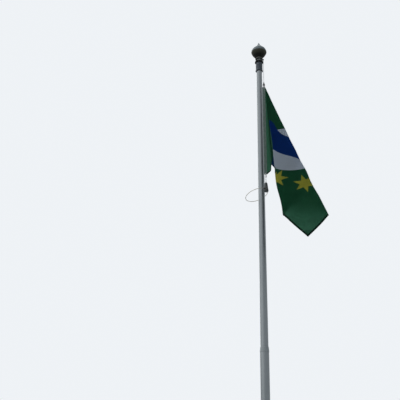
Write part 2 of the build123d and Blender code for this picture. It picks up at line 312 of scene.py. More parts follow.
# Sprung gates of the two hooks: distance of the leg from the line, wire radius, and drop of the foot
TOP_GATE = (0.0105, 0.004, 0.045)
BOTTOM_GATE = (0.008, 0.003, 0.032)
GATE_LENGTH = 0.014
KNURL_RINGS = 5
KNURL_FROM = 0.002
KNURL_PITCH = 0.0022
GATE_PIN_DROP = 0.004

# Swivel barrel from its foot up: radius and height
SWIVEL = [
    (0.0034, 0.0002),
    (0.0066, 0.0004),
    (0.0084, 0.003),
    (0.0086, 0.0075),
    (0.0084, 0.012),
    (0.007, 0.0146),
    (0.0052, 0.016),
    (0.0034, 0.0165),
]
# Hook body from the top down: drop, half width and half depth
HOOK_BODY = [
    (-0.0008, 0.0068, 0.0062),
    (0.0006, 0.0082, 0.0072),
    (0.005, 0.0105, 0.0076),
    (0.01, 0.0138, 0.0074),
    (0.015, 0.0156, 0.0068),
    (0.021, 0.016, 0.0064),
    (0.028, 0.0158, 0.006),
    (0.0335, 0.0152, 0.0056),
    (0.035, 0.014, 0.0048),
]
BODY_ROUND = (0.7, 0.7)
# Spike's outline from the tip down: radius and drop, in millimetres
SPIKE = [
    (0.4, 0),
    (2.6, 0.9),
    (4.6, 3.5),
    (7, 9),
    (9.5, 17),
    (12.5, 25.5),
    (17, 34),
    (23.5, 43.5),
    (32, 55),
    (43, 67.8),
    (54, 80.2),
    (64, 91),
    (74, 100.4),
    (84, 110.2),
    (90, 117.5),
]


def add(owner, kind, **inputs):
    """A shader node of a material or the world, with its inputs set by name."""
    node = owner.node_tree.nodes.new("ShaderNode" + kind)
    for name, value in inputs.items():
        node.inputs[name.replace("_", " ")].default_value = value
    return node


def join(owner, source, target):
    owner.node_tree.links.new(source, target)


def feed(owner, value, socket):
    """Give an input another node's output, an RGB tuple or a number."""
    if isinstance(value, bpy.types.NodeSocket):
        join(owner, value, socket)
    elif isinstance(value, tuple):
        socket.default_value = (*value, 1)
    else:
        socket.default_value = value


def math_node(owner, operation, first, second=0.0):
    node = add(owner, "Math")
    node.operation = operation
    feed(owner, first, node.inputs[0])
    feed(owner, second, node.inputs[1])
    return node.outputs[0]


def plus(owner, first, second):
    return math_node(owner, "ADD", first, second)


def minus(owner, first, second):
    return math_node(owner, "SUBTRACT", first, second)


def times(owner, first, second):
    return math_node(owner, "MULTIPLY", first, second)


def mixed(mat, share, first, second):
    """Mix of two colours, each a socket or an RGB tuple."""
    node = add(mat, "Mix")
    node.data_type = "RGBA"
    feed(mat, share, node.inputs[0])
    feed(mat, first, node.inputs[6])
    feed(mat, second, node.inputs[7])
    return node.outputs[2]


def mixed_shaders(owner, share, first, second, output):
    """Mix of two shaders, as the surface of the output node."""
    both = add(owner, "MixShader")
    join(owner, share, both.inputs["Fac"])
    join(owner, first, both.inputs[1])
    join(owner, second, both.inputs[2])
    join(owner, both.outputs["Shader"], owner.node_tree.nodes[output].inputs["Surface"])


def ramp(mat, source, low, high, first, second):
    """Colour that goes from first to second as source goes from low to high."""
    node = add(mat, "ValToRGB")
    node.color_ramp.elements[0].position = low
    node.color_ramp.elements[1].position = high
    node.color_ramp.elements[0].color = (*first, 1)
    node.color_ramp.elements[1].color = (*second, 1)
    join(mat, source, node.inputs["Fac"])
    return node.outputs["Color"]


def spread(owner, source, low, high, start=0.0, end=1.0):
    """A value that goes from low to high as source goes from start to end."""
    node = add(owner, "MapRange", From_Min=start, From_Max=end, To_Min=low, To_Max=high)
    join(owner, source, node.inputs["Value"])
    return node.outputs["Result"]


def noise(mat, scale, stretch=(1, 1, 1), detail=4.0):
    """Noise in the object's own metres, finer along an axis with more stretch."""
    coords = add(mat, "TexCoord")
    mapping = add(mat, "Mapping", Scale=stretch)
    texture = add(mat, "TexNoise", Scale=scale, Detail=detail, Roughness=0.6)
    join(mat, coords.outputs["Object"], mapping.inputs["Vector"])
    join(mat, mapping.outputs["Vector"], texture.inputs["Vector"])
    return texture.outputs["Fac"]


def bump(mat, shader, height, distance):
    node = add(mat, "Bump", Strength=1.0, Distance=distance)
    join(mat, height, node.inputs["Height"])
    join(mat, node.outputs["Normal"], shader.inputs["Normal"])


def material(name, colour, roughness, metallic=0.0, specular=0.5):
    """A material and its main shader."""
    mat = bpy.data.materials.new(name)
    mat.use_nodes = True
    shader = mat.node_tree.nodes["Principled BSDF"]
    shader.inputs["Base Color"].default_value = (*colour, 1)
    shader.inputs["Roughness"].default_value = roughness
    shader.inputs["Metallic"].default_value = metallic
    shader.inputs["Specular IOR Level"].default_value = specular
    return mat, shader


def drawn_tube(name, colour, dark, metallic, roughness):
    """Satin drawn aluminium: fine lines along the tube, soft weather stains and run-off streaks."""
    mat, shader = material(name, colour, roughness, metallic, 0.35)
    lines = noise(mat, 1.0, DRAWN_LINES, 2)
    stains = noise(mat, 1.0, STAINS, 5)
    streaks = noise(mat, 1.0, STREAKS, 3)
    base = ramp(mat, stains, 0.35, 0.7, dark, colour)
    grey = mixed(mat, spread(mat, streaks, 0.0, 0.55), base, dark)
    join(mat, mixed(mat, spread(mat, lines, 0.0, 0.3), grey, colour), shader.inputs["Base Color"])
    join(mat, spread(mat, stains, roughness - 0.06, roughness + 0.12), shader.inputs["Roughness"])
    bump(mat, shader, lines, LINE_DEPTH)
    return mat


def coated(name, colour, dust, roughness, metallic=0.2, specular=0.4):
    """Cast or spun metal under a weathered coat, with dust in patches."""
    mat, shader = material(name, colour, roughness, metallic, specular)
    patches = noise(mat, PATCH_SCALE, PATCHES, 6)
    join(mat, ramp(mat, patches, 0.42, 0.78, colour, dust), shader.inputs["Base Color"])
    join(mat, spread(mat, patches, roughness - 0.08, roughness + 0.18), shader.inputs["Roughness"])
    bump(mat, shader, noise(mat, FINE_GRAIN, detail=2), GRAIN_DEPTH)
    return mat


def height_shaded(name, node, shade_colour, lit_colour, start, end, specular):
    """Coat with painted shade: from the shaded colour at the foot to the lit colour, between two shares of
    a node's height.
    """
    mat, shader = material(name, lit_colour, 0.6, 0.0, specular)
    low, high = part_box(node)
    coords = add(mat, "TexCoord")
    parts = add(mat, "SeparateXYZ")
    join(mat, coords.outputs["Object"], parts.inputs["Vector"])
    patches = noise(mat, PATCH_SCALE, PATCHES, 6)
    share = math_node(mat, "DIVIDE", minus(mat, parts.outputs["Z"], low.z), high.z - low.z)
    share = plus(mat, share, times(mat, minus(mat, patches, 0.5), SHADE_UNEVEN))
    # Painted shade, darker towards the foot of the piece, made a little uneven by the patches
    join(mat, ramp(mat, share, start, end, shade_colour, lit_colour), shader.inputs["Base Color"])
    join(mat, spread(mat, patches, 0.5, 0.75), shader.inputs["Roughness"])
    bump(mat, shader, noise(mat, FINE_GRAIN, detail=2), GRAIN_DEPTH)
    return mat


def galvanised():
    """Hot-dip zinc: small spangles of slightly different greys, with a dull bloom."""
    mat, shader = material("zinc", (0.3, 0.32, 0.33), 0.5, 0.5, 0.4)
    coords = add(mat, "TexCoord")
    cells = add(mat, "TexVoronoi", Scale=SPANGLE_SCALE)
    join(mat, coords.outputs["Object"], cells.inputs["Vector"])
    tone = add(mat, "SeparateColor")
    join(mat, cells.outputs["Color"], tone.inputs["Color"])
    bloom = spread(mat, noise(mat, 14, detail=5), 0.1, 0.7)
    spangle = ramp(mat, tone.outputs["Red"], 0.0, 1.0, *ZINC_SHADES)
    join(mat, mixed(mat, bloom, spangle, ZINC_BLOOM), shader.inputs["Base Color"])
    join(mat, spread(mat, tone.outputs["Green"], 0.4, 0.6), shader.inputs["Roughness"])
    bump(mat, shader, tone.outputs["Blue"], SPANGLE_DEPTH)
    return mat


def moulded(name, colour, roughness, depth, metallic=0.0, grain=FINE_GRAIN):
    """Moulded, rubber or plated surface with fine grain and slight colour change."""
    mat, shader = material(name, colour, roughness, metallic, 0.4)
    tone = noise(mat, 40, detail=4)
    darker = tuple(0.75 * c for c in colour)
    join(mat, ramp(mat, tone, 0.3, 0.7, darker, colour), shader.inputs["Base Color"])
    join(mat, spread(mat, tone, roughness - 0.05, roughness + 0.1), shader.inputs["Roughness"])
    bump(mat, shader, noise(mat, grain, detail=2), depth)
    return mat


def rope_fibre():
    """White polyester rope with soft fibres and a little grime in uneven patches."""
    mat, shader = material("rope_fibre", (0.62, 0.65, 0.66), 0.8, 0.0, 0.2)
    grime = noise(mat, 120, detail=3)
    join(mat, ramp(mat, grime, 0.35, 0.65, *ROPE_SHADES), shader.inputs["Base Color"])
    bump(mat, shader, noise(mat, FIBRE_SCALE, FIBRES, 2), FIBRE_DEPTH)
    return mat


def cloth_coordinates(mat):
    """Distances along the fly and down the hoist, in metres, of a point on the flag."""
    uv = add(mat, "UVMap")
    uv.uv_map = "cloth"
    parts = add(mat, "SeparateXYZ")
    join(mat, uv.outputs["UV"], parts.inputs["Vector"])
    return parts.outputs["X"], parts.outputs["Y"]


def wave_edge(mat, along, down, start, slope, swing, length, shift, bend, drop):
    """1 below a wavy line across the flag and 0 above it. Short of bend the line drops to the foot."""
    phase = times(mat, minus(mat, along, shift), 2 * math.pi / length)
    wave = times(mat, math_node(mat, "SINE", phase), swing)
    short = math_node(mat, "MAXIMUM", minus(mat, bend, along), 0.0)
    fall = times(mat, times(mat, short, short), drop)
    line = plus(mat, times(mat, along, slope), wave)
    line = plus(mat, plus(mat, line, fall), start)
    return math_node(mat, "GREATER_THAN", down, line)


def star(mat, along, down, across, below, turn):
    """1 inside a plain star with straight edges, and 0 outside it."""
    x = minus(mat, along, across)
    y = minus(mat, down, below)
    distance = math_node(mat, "SQRT", plus(mat, times(mat, x, x), times(mat, y, y)))
    half = math.pi / STAR_POINTS
    heading = plus(mat, math_node(mat, "ARCTAN2", y, x), math.pi / 2 + math.radians(turn))
    angle = math_node(mat, "PINGPONG", heading, half)
    side = STAR_INNER * math.sin(half)
    notch = STAR_OUTER - STAR_INNER * math.cos(half)
    ahead = times(mat, math_node(mat, "COSINE", angle), side)
    aside = times(mat, math_node(mat, "SINE", angle), notch)
    reach = times(mat, distance, plus(mat, ahead, aside))
    return math_node(mat, "LESS_THAN", reach, STAR_OUTER * side)


def stitches(mat, gap, run, offset):
    """1 on a row of stitches at an offset from an edge."""
    near = math_node(mat, "ABSOLUTE", minus(mat, gap, offset))
    row = math_node(mat, "LESS_THAN", near, STITCH_HALF)
    place = math_node(mat, "FRACT", math_node(mat, "DIVIDE", run, STITCH))
    return times(mat, row, math_node(mat, "LESS_THAN", place, STITCH_SHARE))


def woven(mat, shader, threads, rows, sink, depth):
    """Relief of a weave, with rows of stitches sunk in it. Threads are two distances and their pitches."""
    warp, weft = (math_node(mat, "SINE", times(mat, run, 2 * math.pi / pitch)) for run, pitch in threads)
    bump(mat, shader, minus(mat, times(mat, warp, weft), times(mat, rows, sink)), depth)


def flag_cloth():
    """Knitted polyester with printed bands and stars, painted shade on its doubled hems and corner
    patches, and rows of stitches.
    """
    mat, shader = material("flag_cloth", GREEN, 0.85, 0.0, 0.05)
    along, down = cloth_coordinates(mat)
    colour = GREEN
    for edge, below in BANDS:
        colour = mixed(mat, wave_edge(mat, along, down, *edge), colour, below)
    for place in STARS:
        colour = mixed(mat, star(mat, along, down, *place), colour, YELLOW)
    fly_gap = minus(mat, FLY, along)
    side_gap = math_node(mat, "MINIMUM", minus(mat, HOIST, down), down)
    edge_gap = math_node(mat, "MINIMUM", fly_gap, side_gap)
    patch_gap = plus(mat, fly_gap, side_gap)
    # Painted shade: the doubled hems and corner patches are painted darker, as two layers let less light
    # through
    hem = times(mat, math_node(mat, "LESS_THAN", edge_gap, HEM_WIDTH), HEM_SHADE_SHARE)
    patch = times(mat, math_node(mat, "LESS_THAN", patch_gap, PATCH_SIZE), PATCH_SHADE_SHARE)
    doubled = math_node(mat, "MAXIMUM", hem, patch)
    colour = mixed(mat, doubled, colour, DOUBLED_PAINTED_SHADE)
    run = plus(mat, along, down)
    rows = stitches(mat, edge_gap, run, EDGE_ROW)
    for gap, width in ((edge_gap, HEM_WIDTH), (patch_gap, PATCH_SIZE)):
        rows = math_node(mat, "MAXIMUM", rows, stitches(mat, gap, run, width - STITCH_INSET))
    colour = mixed(mat, times(mat, rows, THREAD_SHARE), colour, FLAG_THREAD)
    tone = spread(mat, noise(mat, 5, detail=4), 0.0, TONE_SHARE)
    colour = mixed(mat, tone, colour, BLACK)
    join(mat, colour, shader.inputs["Base Color"])
    woven(mat, shader, ((along, RIB_PITCH), (down, ROW_PITCH)), rows, sink=4.0, depth=WEAVE_DEPTH)
    glow = add(mat, "Gamma", Gamma=CLOTH_GLOW)
    join(mat, colour, glow.inputs["Color"])
    through = add(mat, "BsdfTranslucent")
    join(mat, glow.outputs["Color"], through.inputs["Color"])
    share = spread(mat, doubled, CLOTH_THROUGH, 0.0)
    mixed_shaders(mat, share, shader.outputs["BSDF"], through.outputs["BSDF"], "Material Output")
    return mat


def canvas():
    """Heading tape: plain weave with rows of stitches along its edges and across each end."""
    mat, shader = material("heading_canvas", (0.16, 0.21, 0.19), 0.9, 0.0, 0.15)
    across, down = cloth_coordinates(mat)
    colour = ramp(mat, noise(mat, 30, detail=5), 0.3, 0.7, *CANVAS_SHADES)
    rows = stitches(mat, across, down, TAPE_LEFT + STITCH_INSET)
    for offset in TAPE_SIDE_ROWS:
        rows = math_node(mat, "MAXIMUM", rows, stitches(mat, across, down, offset))
    for offset in (TAPE_END_ROW, HOIST - TAPE_END_ROW):
        rows = math_node(mat, "MAXIMUM", rows, stitches(mat, down, across, offset))
    colour = mixed(mat, times(mat, rows, TAPE_THREAD_SHARE), colour, CANVAS_THREAD)
    join(mat, colour, shader.inputs["Base Color"])
    threads = ((across, CANVAS_PITCH), (down, CANVAS_PITCH))
    woven(mat, shader, threads, rows, sink=3.0, depth=CANVAS_DEPTH)
    return mat


def direction(side, front):
    """Unit vector of a fold line, from its two leans in degrees."""
    ray = np.array([math.tan(math.radians(side)), -math.tan(math.radians(front)), -1.0])
    return ray / np.linalg.norm(ray)


def fan():
    """Directions of the cloth's rays from the top hoist corner, one for each step of cloth angle."""
    corners = [direction(*lean) for lean in FOLDS]
    step = math.radians(FAN_STEP)
    path = []
    for a, b in zip(corners, corners[1:]):
        count = max(2, round(math.acos(min(1.0, a @ b)) / step))
        path += [a + (b - a) * i / count for i in range(count)]
    path = np.array(path + [corners[-1]])
    reach = round(FOLD_ROUND / FAN_STEP)
    weights = np.hanning(2 * reach + 3)[1:-1]
    padded = np.pad(path, ((reach, reach), (0, 0)), mode="edge")
    soft = np.array([np.convolve(padded[:, k], weights / weights.sum(), "valid") for k in range(3)]).T
    soft /= np.linalg.norm(soft, axis=1)[:, None]
    turned = np.concatenate([[0], np.cumsum(np.linalg.norm(np.diff(soft, axis=0), axis=1))])
    angles = np.radians(np.arange(0, 90 + FAN_STEP, FAN_STEP))
    rays = np.array([np.interp(angles, turned, soft[:, k]) for k in range(3)]).T
    return rays / np.linalg.norm(rays, axis=1)[:, None]


def fan_columns():
    """Angles of the grid's lines: close together at the folds, wider on the flats between them."""
    rays = fan()
    bend = np.linalg.norm(np.gradient(np.gradient(rays, axis=0), axis=0), axis=1)
    picked = [0]
    corner = round(math.degrees(math.atan2(FLY, HOIST)) / FAN_STEP)
    for i in range(1, len(rays)):
        gap = FOLD_COLUMN if bend[i] > FLAT_BEND else FLAT_COLUMN
        if i - picked[-1] >= gap or i == corner or i == len(rays) - 1:
            picked.append(i)
    angles = np.radians(np.array(picked) * FAN_STEP)
    angles[picked.index(corner)] = math.atan2(FLY, HOIST)
    return angles


def wrinkles(along, down):
    """Soft uneven waves across the cloth, about 1 high."""
    wide = np.sin(9 * along + 5 * down) * np.sin(6.5 * down - 4 * along + 1)
    return wide + 0.5 * np.sin(21 * along - 8 * down)


def cloth_points(down, along):
    """Places of cloth points, hung as a fan of straight folds from the top hoist corner."""
    rays = fan()
    reach = np.hypot(down, along)
    angle = np.degrees(np.arctan2(along, down)) / FAN_STEP
    low = np.clip(angle.astype(int), 0, len(rays) - 2)
    part = (angle - low)[..., None]
    ray = rays[low] * (1 - part) + rays[low + 1] * part
    ray /= np.linalg.norm(ray, axis=-1)[..., None]
    across = np.gradient(rays, axis=0)
    normals = np.cross(rays, across / np.linalg.norm(across, axis=1)[:, None])[low]
    loose = np.clip(along / LOOSE_FROM, 0, 1)
    ripple = RIPPLE * loose * reach * wrinkles(along, down)
    points = ray * reach[..., None] + normals * ripple[..., None]
    fall = -points[..., 2] / HOIST
    points[..., 0] -= SWAY * loose * np.sin(np.clip(fall, 0, SWAY_SPAN) * math.pi / SWAY_SPAN)
    belly = 1 + np.cos(math.pi * np.clip((fall - BELLY_AT) / BELLY_SPAN, -1, 1))
    beside = np.exp(-(((angle * FAN_STEP - CREASE_FIRST) / BELLY_WIDTH) ** 2))
    points[..., 0] -= BELLY / 2 * belly * beside
    return crease(points, down, along)


def crease(points, down, along):
    """Turns the free corner of the cloth back along a soft crease, with a low ridge down its middle."""
    first = np.array([HOIST * math.tan(math.radians(CREASE_FIRST)), HOIST])
    last = np.array([FLY, FLY / math.tan(math.radians(CREASE_LAST))])
    course = (last - first) / np.linalg.norm(last - first)
    offset = np.stack([along - first[0], down - first[1]], axis=-1)
    beyond = np.clip(offset[..., 0] * -course[1] + offset[..., 1] * course[0], 0, None)
    beside = offset @ course - np.linalg.norm(last - first) / 2
    near = [np.argmin(np.hypot(along - x, down - y)) for x, y in (first, last)]
    start, end = (points.reshape(-1, 3)[i] for i in near)
    axis = (end - start) / np.linalg.norm(end - start)
    share = np.clip(beyond / CREASE_SPAN, 0, 1)
    turn = (CREASE_TURN * share * share * (3 - 2 * share))[..., None]
    arm = points - start
    level = (arm @ axis)[..., None] * axis
    swung = level + (arm - level) * np.cos(turn) + np.cross(axis, arm) * np.sin(turn)
    swung[..., 1] -= RIDGE_HEIGHT * share * np.clip(1 - np.abs(beside) / RIDGE_WIDTH, 0, 1)
    return start + swung


def flag():
    """The cloth as a grid along rays from the top hoist corner, so that its folds are smooth lines."""
    angles = fan_columns()
    limit = np.minimum(HOIST / np.maximum(np.cos(angles), 1e-9), FLY / np.maximum(np.sin(angles), 1e-9))
    shares = np.concatenate([np.linspace(FIRST_ROW, 1, CLOTH_ROWS) - HEM_WIDTH / FLY, [1]])
    shares[0] = FIRST_ROW
    reach = shares[:, None] * limit[None, :]
    along = reach * np.sin(angles)
    down = reach * np.cos(angles)
    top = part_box("flag_heading")[1].z
    places = cloth_points(down, along) + np.array([EDGE_X, 0, top])
    bm = bmesh.new()
    uv = bm.loops.layers.uv.new("cloth")
    grid = [[bm.verts.new(ON_LINE @ Vector(p)) for p in row] for row in places]
    for i in range(len(shares) - 1):
        for j in range(len(angles) - 1):
            corners = ((i, j), (i + 1, j), (i + 1, j + 1), (i, j + 1))
            face = bm.faces.new([grid[a][b] for a, b in corners])
            face.smooth = True
            for loop, corner in zip(face.loops, corners):
                loop[uv].uv = (along[corner], down[corner])
    obj = finished("flag_sheet", bm, flag_cloth())
    hems = obj.vertex_groups.new(name="hems")
    edge = np.minimum(np.minimum(FLY - along, HOIST - down), down).ravel()
    hems.add([int(i) for i in np.flatnonzero(edge < HEM_WIDTH)], 1.0, "REPLACE")
    solid = obj.modifiers.new("thickness", "SOLIDIFY")
    solid.thickness = HEM_THICKNESS
    solid.vertex_group = "hems"
    solid.thickness_vertex_group = CLOTH_THICKNESS / HEM_THICKNESS
    solid.offset = 0
    return obj


def turns(count):
    """Evenly spaced angles round a circle."""
    return [2 * math.pi * i / count for i in range(count)]


def rounded(turn, power_x, power_y):
    """Point at an angle on a rounded rectangle of half size 1, squarer where the power is lower."""
    c = math.cos(turn)
    s = math.sin(turn)
    return math.copysign(abs(c) ** power_x, c), math.copysign(abs(s) ** power_y, s)


def bridge(bm, loops, closed=False):
    """Quads between each loop of corners and the next."""
    pairs = list(zip(loops, loops[1:]))
    if closed:
        pairs.append((loops[-1], loops[0]))
    for first, second in pairs:
        for i in range(len(first)):
            j = (i + 1) % len(first)
            bm.faces.new((first[i], first[j], second[j], second[i])).smooth = True


def skin(bm, loops, closed=False):
    """Surface through loops of corners, which runs into itself or has a face at each end."""
    bridge(bm, loops, closed)
    if not closed:
        bm.faces.new(loops[0][::-1])
        bm.faces.new(loops[-1])


def cross_directions(points, closed=False):
    """Two directions across a line at each of its points, which don't twist along it."""
    if closed:
        step = np.roll(points, -1, axis=0) - np.roll(points, 1, axis=0)
    else:
        step = np.gradient(points, axis=0)
    ahead = step / np.linalg.norm(step, axis=1)[:, None]
    side = np.cross(ahead[0], ASIDE)
    across = []
    for course in ahead:
        side = side - course * (side @ course)
        side = side / np.linalg.norm(side)
        across.append(side)
    across = np.array(across)
    return across, np.cross(ahead, across)


def tube(bm, points, radius, sides=10, closed=False):
    """Round tube along a line of points, with one radius or one for each point."""
    points = np.asarray(points, float)
    across, up = cross_directions(points, closed)
    loops = []
    for point, r, a, b in zip(points, np.broadcast_to(radius, len(points)), across, up):
        places = [point + r * (math.cos(t) * a + math.sin(t) * b) for t in turns(sides)]
        loops.append([bm.verts.new(place) for place in places])
    skin(bm, loops, closed)


def lathe(bm, profile, place, sides=32, closed=False):
    """Surface turned about the placed Z axis, through the profile's radii and heights."""
    loops = []
    for r, h in profile:
        places = [place @ Vector((r * math.cos(t), r * math.sin(t), h)) for t in turns(sides)]
        loops.append([bm.verts.new(corner) for corner in places])
    skin(bm, loops, closed)


def finished(name, bm, mat):
    """Object of a bmesh, with its material."""
    mesh = bpy.data.meshes.new(name)
    bmesh.ops.recalc_face_normals(bm, faces=bm.faces)
    bm.to_mesh(mesh)
    bm.free()
    mesh.materials.append(mat)
    obj = bpy.data.objects.new(name, mesh)
    bpy.context.scene.collection.objects.link(obj)
    return obj


def lathed(name, profile, place, mat, sides=32):
    """Object of one lathed surface."""
    bm = bmesh.new()
    lathe(bm, profile, place, sides)
    return finished(name, bm, mat)


def rope(name, line, radius, mat, closed=False):
    """Laid rope of three strands that wind round a line of evenly spaced points."""
    line = np.asarray(line, float)
    across, up = cross_directions(line, closed)
    count = len(line)
    wound = 2 * math.pi * round(count / LAY_STEPS) / count * np.arange(count)
    strand = radius / (1 + 2 / math.sqrt(3))
    bm = bmesh.new()
    for start in turns(STRANDS):
        a = np.cos(wound + start)[:, None] * across
        b = np.sin(wound + start)[:, None] * up
        tube(bm, line + (radius - strand) * (a + b), strand, STRAND_SIDES, closed)
    return finished(name, bm, mat)


def halyard(mat):
    """The rope from the arm's bush down to the top hook."""
    low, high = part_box("halyard")
    count = round((high.z - low.z) / LAY * LAY_STEPS)
    x = (low.x + high.x) / 2
    y = (low.y + high.y) / 2
    line = [(x, y, high.z + (low.z - high.z) * i / count) for i in range(count + 1)]
    return rope("halyard_rope", line, (high.x - low.x) / 2, mat)


def strop(mat):
    """The rope link between the lower hook and the weight."""
    low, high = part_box("weight_strop")
    straight = high.z - low.z - 2 * ROPE_R - 2 * STROP_BEND
    half = math.pi * STROP_BEND
    total = 2 * straight + 2 * half
    count = LAY_STEPS * round(total / LAY)
    place = ON_LINE @ Matrix.Translation((0, 0, high.z)) @ Matrix.Rotation(math.pi / 2, 4, "Z")
    line = []
    for i in range(count):
        run = total * i / count
        if run < straight:
            x, z = STROP_BEND, -run
        elif run < straight + half:
            turn = (run - straight) / STROP_BEND
            x, z = STROP_BEND * math.cos(turn), -straight - STROP_BEND * math.sin(turn)
        elif run < 2 * straight + half:
            x, z = -STROP_BEND, run - half - 2 * straight
        else:
            turn = (run - 2 * straight - half) / STROP_BEND
            x, z = -STROP_BEND * math.cos(turn), STROP_BEND * math.sin(turn)
        line.append(place @ Vector((x, 0, z - ROPE_R - STROP_BEND)))
    return rope("strop_rope", line, ROPE_R, mat, closed=True)


def whipping(name, foot, length, mat):
    """Twine wound tightly round an upright rope, so that its strands stay together."""
    count = round(length / (2 * TWINE_R))
    r = ROPE_R + TWINE_R * TWINE_SINK
    points = []
    for i in range(count * TWINE_STEPS + 1):
        turn = 2 * math.pi * i / TWINE_STEPS
        rise = 2 * TWINE_R * i / TWINE_STEPS
        points.append(foot + Vector((r * math.cos(turn), r * math.sin(turn), rise)))
    bm = bmesh.new()
    tube(bm, points, TWINE_R, 6)
    return finished(name, bm, mat)


def heading_tape(mat):
    """Folded canvas tape along the hoist, with rounded edges and a hole for each eyelet."""
    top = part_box("flag_heading")[1].z
    middle = (TAPE_LEFT + TAPE_RIGHT) / 2
    half = (TAPE_RIGHT - TAPE_LEFT) / 2
    bm = bmesh.new()
    uv = bm.loops.layers.uv.new("cloth")
    loops = []
    for i in range(TAPE_LOOPS):
        z = -HOIST * i / (TAPE_LOOPS - 1)
        loop = []
        for turn in turns(TAPE_SIDES):
            x, y = rounded(turn, *TAPE_ROUND)
            pucker = 1 + TAPE_PUCKER * math.sin(z * PUCKER_WAVE + 3 * x)
            loop.append(bm.verts.new((middle + half * x, TAPE_HALF * y * pucker, z)))
        loops.append(loop)
    skin(bm, loops)
    for face in bm.faces:
        for loop in face.loops:
            loop[uv].uv = (loop.vert.co.x, -loop.vert.co.z)
    obj = finished("heading_tape", bm, mat)
    for z in (-EYELET_EDGE, EYELET_EDGE - HOIST):
        place = Matrix.Translation((0, 0, z)) @ Matrix.Rotation(math.pi / 2, 4, "X")
        drill(obj, place, EYELET_R, CUTTER_LENGTH)
    obj.data.transform(ON_LINE @ Matrix.Translation((0, 0, top)))
    return obj


def drill(obj, place, radius, length):
    """Cuts a round hole through a piece."""
    ends = [(radius, -length / 2), (radius, length / 2)]
    cutter = lathed("cutter", ends, place, obj.data.materials[0], 24)
    cut = obj.modifiers.new("hole", "BOOLEAN")
    cut.object = cutter
    cut.solver = "EXACT"
    cut.operation = "DIFFERENCE"
    bpy.context.view_layer.update()
    holed = bpy.data.meshes.new_from_object(obj.evaluated_get(bpy.context.evaluated_depsgraph_get()))
    obj.modifiers.clear()
    obj.data = holed
    bpy.data.objects.remove(cutter)


def eyelets(mat):
    """Rolled metal eyelets at the tape's two ends."""
    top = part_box("flag_heading")[1].z
    rim = EYELET_R + EYELET_RIM
    face = TAPE_HALF
    proud = TAPE_HALF + EYELET_PROUD
    profile = [
        (EYELET_R - 0.0001, -face),
        (EYELET_R + 0.0004, -proud),
        (rim - 0.0008, -proud),
        (rim, -face),
        (rim, -face + 0.0003),
        (EYELET_R + 0.0005, -face + 0.0003),
        (EYELET_R + 0.0005, face - 0.0003),
        (rim, face - 0.0003),
        (rim, face),
        (rim - 0.0008, proud),
        (EYELET_R + 0.0004, proud),
        (EYELET_R - 0.0001, face),
    ]
    bm = bmesh.new()
    for z in (-EYELET_EDGE, EYELET_EDGE - HOIST):
        place = ON_LINE @ Matrix.Translation((0, 0, top + z)) @ Matrix.Rotation(math.pi / 2, 4, "X")
        lathe(bm, profile, place, 32, closed=True)
    return finished("heading_eyelets", bm, mat)


def spike(mat):
    """Cast spike that flares into the dome."""
    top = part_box("finial_spike")[1].z
    return lathed("spike", [(r / 1000, top - drop / 1000) for r, drop in SPIKE], Matrix(), mat, 64)


def outwards(angle, radius, height):
    """Place on an upright round surface, with Z pointing out of it."""
    spin = Matrix.Rotation(math.radians(angle), 4, "Z")
    return spin @ Matrix.Translation((radius, 0, height)) @ Matrix.Rotation(math.pi / 2, 4, "Y")


def screw(bm, place, radius, height, socket):
    """Button-headed screw with a hexagon socket."""
    outline = [
        (radius, -SCREW_SINK, False),
        (radius, height * 0.2, False),
        (radius * 0.93, height * 0.55, False),
        (radius * 0.74, height * 0.88, False),
        (radius * 0.55, height, False),
        (socket * 1.06, height, True),
        (socket, height * 0.93, True),
        (socket, height * 0.25, True),
    ]
    loops = []
    for r, h, hexagon in outline:
        loop = []
        for t in turns(24):
            share = 1 / math.cos((t + math.pi / 6) % (math.pi / 3) - math.pi / 6) if hexagon else 1
            corner = Vector((r * share * math.cos(t), r * share * math.sin(t), h))
            loop.append(bm.verts.new(place @ corner))
        loops.append(loop)
    bridge(bm, loops)
    bm.faces.new(loops[-1])


def screws(name, places, mat, radius, height):
    bm = bmesh.new()
    for place in places:
        screw(bm, place, radius, height, radius * SOCKET_SHARE)
    return finished(name, bm, mat)


def weld(bm, start, end, radius):
    """Straight weld bead with scale-like ripples and tapered ends."""
    length = (end - start).length
    count = round(length / BEAD_STEP)
    points = [start.lerp(end, i / count) for i in range(count + 1)]
    radii = []
    for i in range(count + 1):
        run = length * i / count
        inward = min(run, length - run) / (BEAD_TAPER * radius)
        taper = min(1, BEAD_TIP + (1 - BEAD_TIP) * inward)
        radii.append(radius * taper * (1 + BEAD_RIPPLE * math.sin(run * 2 * math.pi / BEAD_PITCH)))
    tube(bm, points, radii)


def base_welds(mat):
    """Beads round the socket's foot and along both sides of each gusset."""
    socket_low, socket_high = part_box("base_socket")
    gusset_low, gusset_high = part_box("gusset_right")
    outer = socket_high.x
    plate_top = socket_low.z
    thick = (gusset_high.y - gusset_low.y) / 2
    bm = bmesh.new()
    ring = [(outer * math.cos(t), outer * math.sin(t), plate_top) for t in turns(360)]
    radii = [RING_BEAD * (1 + RING_RIPPLE * math.sin(RING_RIPPLES * t)) for t in turns(360)]
    tube(bm, ring, radii, 12, closed=True)
    for side in (-1, 1):
        for turn in range(4):
            spin = Matrix.Rotation(turn * math.pi / 2, 4, "Z")
            y = side * thick
            root = spin @ Vector((outer, y, plate_top))
            weld(bm, root, spin @ Vector((gusset_high.x - BEAD_GAP, y, plate_top)), FOOT_BEAD)
            weld(bm, root, spin @ Vector((outer, y, gusset_high.z - BEAD_GAP)), RISE_BEAD)
    return finished("base_welds", bm, mat)


def swivel(mat):
    """Swivel barrel on top of the upper hook, which holds the halyard's end."""
    foot = Matrix.Translation((0, 0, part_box("halyard")[0].z))
    return lathed("hook_swivel", SWIVEL, ON_LINE @ foot, mat)


